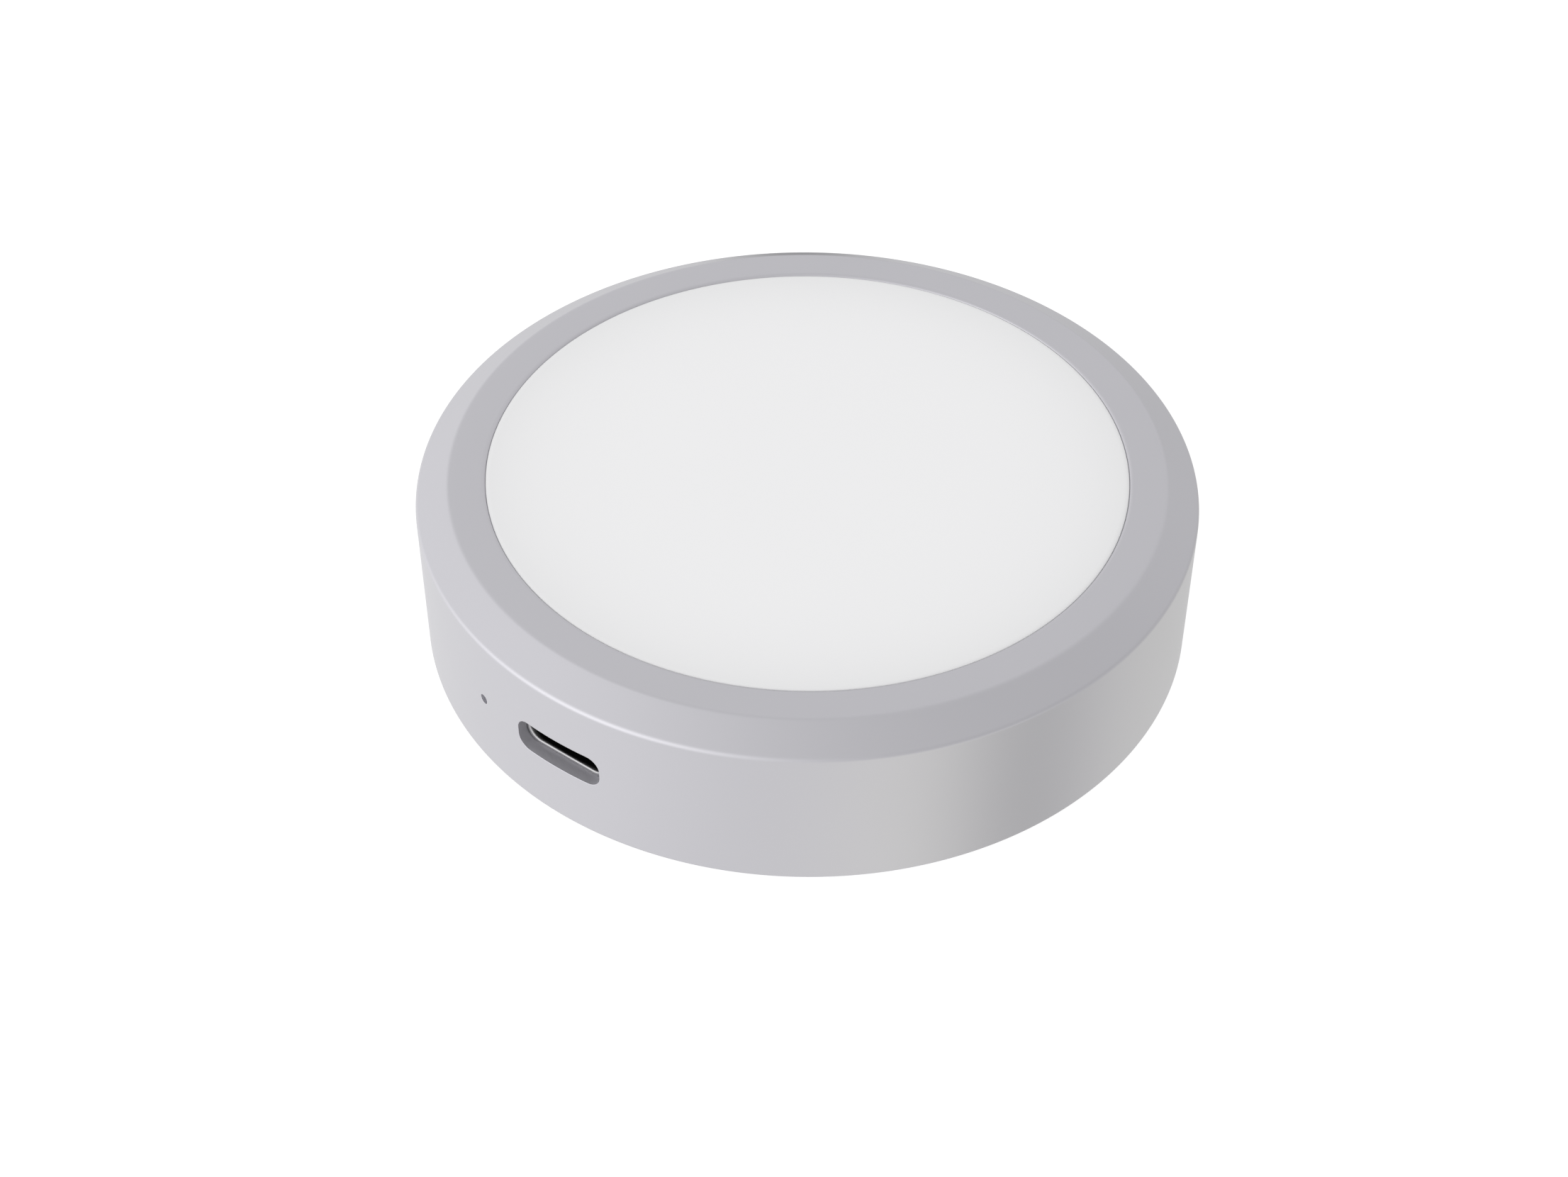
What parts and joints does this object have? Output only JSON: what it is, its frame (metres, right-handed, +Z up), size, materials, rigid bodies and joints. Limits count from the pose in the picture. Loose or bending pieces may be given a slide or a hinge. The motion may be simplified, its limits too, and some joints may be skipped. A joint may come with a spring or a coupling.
{
  "type": "usb hub",
  "caption": "Low round desktop hub: satin aluminium body with bevelled rim, flat white charging disc on top, USB ports in the wall.",
  "frame": {"origin": "centre of the rubber foot's underside, on the table", "axes": "+Z up along the body's axis; the front USB-C port faces -Y"},
  "size_m": [0.073, 0.073, 0.017],
  "materials": {
    "anodised_aluminium": "fine bead-blasted, clear anodised, satin",
    "white_disc": "smooth white polycarbonate, satin",
    "foam_tape": "acrylic foam tape",
    "copper_wire": null,
    "ferrite": null,
    "carrier_plastic": "moulded black plastic",
    "board_laminate": "glass-epoxy board under green solder mask",
    "plated_steel": "nickel-plated pressed steel",
    "port_plastic": "black moulded insulator",
    "gold_contacts": "gold-plated contacts",
    "chip_resin": "black moulding resin",
    "ceramic": "tan ceramic with tinned ends",
    "capacitor_can": "bright aluminium can",
    "screw_steel": "blackened steel",
    "light_guide": "clear polycarbonate",
    "led_resin": "pale resin",
    "silicone": "dark grey silicone, matt",
    "gap_pad": "soft heat-conducting silicone pad"
  },
  "bodies": {
    "root": {"board_screws": "screw_steel", "bottom_cover": "anodised_aluminium", "bulk_capacitors": "capacitor_can", "carrier_screws": "screw_steel", "ceramic_capacitors": "ceramic", "charging_coil": "copper_wire", "charging_controller": "chip_resin", "chip_resistors": "chip_resin", "coil_carrier": "carrier_plastic", "coil_leads": "copper_wire", "cover_screws": "screw_steel", "crystal": "plated_steel", "disc_adhesive_ring": "foam_tape", "esd_arrays": "chip_resin", "ferrite_sheet": "ferrite", "foot_ring": "silicone", "front_usb_c_contacts": "gold_contacts", "front_usb_c_shell": "plated_steel", "front_usb_c_tongue": "port_plastic", "housing": "anodised_aluminium", "hub_controller": "chip_resin", "left_usb_a_contacts": "gold_contacts", "left_usb_a_shell": "plated_steel", "left_usb_a_tongue": "port_plastic", "light_pipe": "light_guide", "main_board": "board_laminate", "power_inductors": "ferrite", "power_transistors": "chip_resin", "rear_usb_c_contacts": "gold_contacts", "rear_usb_c_shell": "plated_steel", "rear_usb_c_tongue": "port_plastic", "right_usb_a_contacts": "gold_contacts", "right_usb_a_shell": "plated_steel", "right_usb_a_tongue": "port_plastic", "shield_can": "plated_steel", "status_led": "led_resin", "thermal_pad": "gap_pad", "top_disc": "white_disc"}
  },
  "joints": []
}
